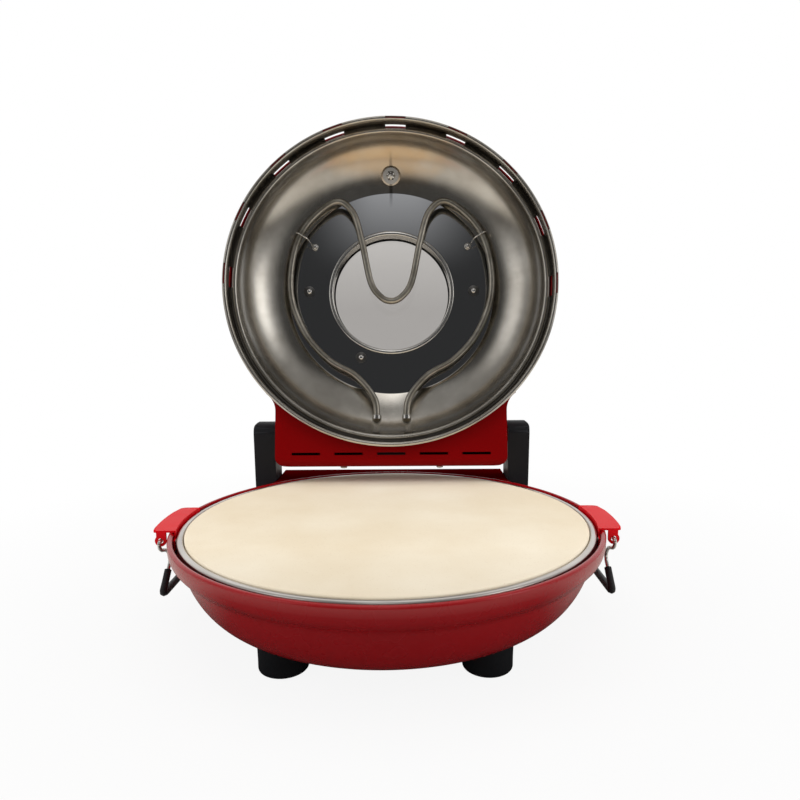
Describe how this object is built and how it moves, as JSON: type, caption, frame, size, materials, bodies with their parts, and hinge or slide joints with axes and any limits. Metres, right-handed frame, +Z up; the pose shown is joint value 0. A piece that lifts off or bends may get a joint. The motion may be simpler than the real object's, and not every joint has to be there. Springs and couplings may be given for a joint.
{
  "type": "electric pizza maker",
  "caption": "Countertop round pizza oven: red bowl with a baking stone, domed lid on a rear hinge with heating element and window, wire side handles.",
  "frame": {"origin": "On the table plane, under the middle of the baking stone and of the bowl.", "axes": "+Z up out of the stone, +Y to the back where the hinge is, +X to the right as seen from the front."},
  "size_m": [0.349, 0.4266, 0.4254],
  "materials": {
    "bowl_red": "gloss",
    "case_red": "gloss",
    "shell_red": "gloss",
    "handle_red": "gloss",
    "steel": "satin",
    "dish_steel": "satin",
    "bright_steel": "polished",
    "zinc_steel": "satin",
    "chrome_wire": "polished",
    "element_tube": "satin",
    "stone": "matt",
    "foot_rubber": "matt",
    "grip_rubber": "matt",
    "gasket": "matt",
    "glass": "clear",
    "black_plastic": "matt",
    "handle_black": "matt",
    "knob_black": "matt",
    "thermostat_body": "matt",
    "lamp_amber": "gloss",
    "terminal_white": "matt"
  },
  "bodies": {
    "base": {"base_bowl": "bowl_red", "base_liner": "steel", "baking_stone": "stone", "lower_element": "element_tube", "lower_element_clips": "steel", "thermal_cutout": "black_plastic", "pan_posts": "steel", "pan_screws": "zinc_steel", "foot_front_left": "foot_rubber", "foot_front_right": "foot_rubber", "foot_rear_left": "foot_rubber", "foot_rear_right": "foot_rubber", "foot_screws": "zinc_steel", "rear_housing": "case_red", "rear_cover": "black_plastic", "cord_gland": "black_plastic", "mains_terminal": "terminal_white", "hinge_bracket_left": "black_plastic", "hinge_bracket_right": "black_plastic", "bracket_screws": "zinc_steel", "hinge_pin_left": "bright_steel", "hinge_pin_right": "bright_steel", "hinge_washers": "bright_steel", "handle_plate_left": "handle_red", "handle_plate_right": "handle_red", "handle_rivets": "bright_steel"},
    "lid": {"lid_shell": "shell_red", "lid_liner": "dish_steel", "window_sleeve": "bright_steel", "window_gasket": "gasket", "window_glass": "glass", "window_bezel": "black_plastic", "upper_element": "element_tube", "element_collars": "bright_steel", "element_clips": "chrome_wire", "clip_screws": "bright_steel", "crown_screws": "bright_steel", "crown_spacers": "steel", "lid_handle": "handle_black", "handle_screw": "bright_steel", "handle_washer": "bright_steel", "lid_box": "case_red", "box_screws": "bright_steel", "thermostat": "thermostat_body", "pilot_lamp": "lamp_amber", "lid_terminal": "terminal_white"},
    "thermostat_knob_body": {"thermostat_knob": "knob_black"},
    "left_bail": {"bail_wire_left": "chrome_wire", "bail_grip_left": "grip_rubber"},
    "right_bail": {"bail_wire_right": "chrome_wire", "bail_grip_right": "grip_rubber"}
  },
  "joints": [
    {"name": "lid_hinge", "type": "hinge", "parent": "base", "child": "lid", "pos_m": [0, 0.146, 0.1175], "axis": [1, 0, 0], "range_deg": [0, 102.9]},
    {"name": "left_bail_swing", "type": "hinge", "parent": "base", "child": "left_bail", "pos_m": [-0.1666, -0.004, 0.0683], "axis": [0, 1, 0], "range_deg": [-20, 95]},
    {"name": "right_bail_swing", "type": "hinge", "parent": "base", "child": "right_bail", "pos_m": [0.1666, -0.004, 0.0683], "axis": [0, -1, 0], "range_deg": [-20, 95]},
    {"name": "thermostat_turn", "type": "hinge", "parent": "lid", "child": "thermostat_knob_body", "pos_m": [0.078, 0.16717, 0.10453], "axis": [0, 0.9755, -0.2198], "range_deg": [0, 270]}
  ]
}
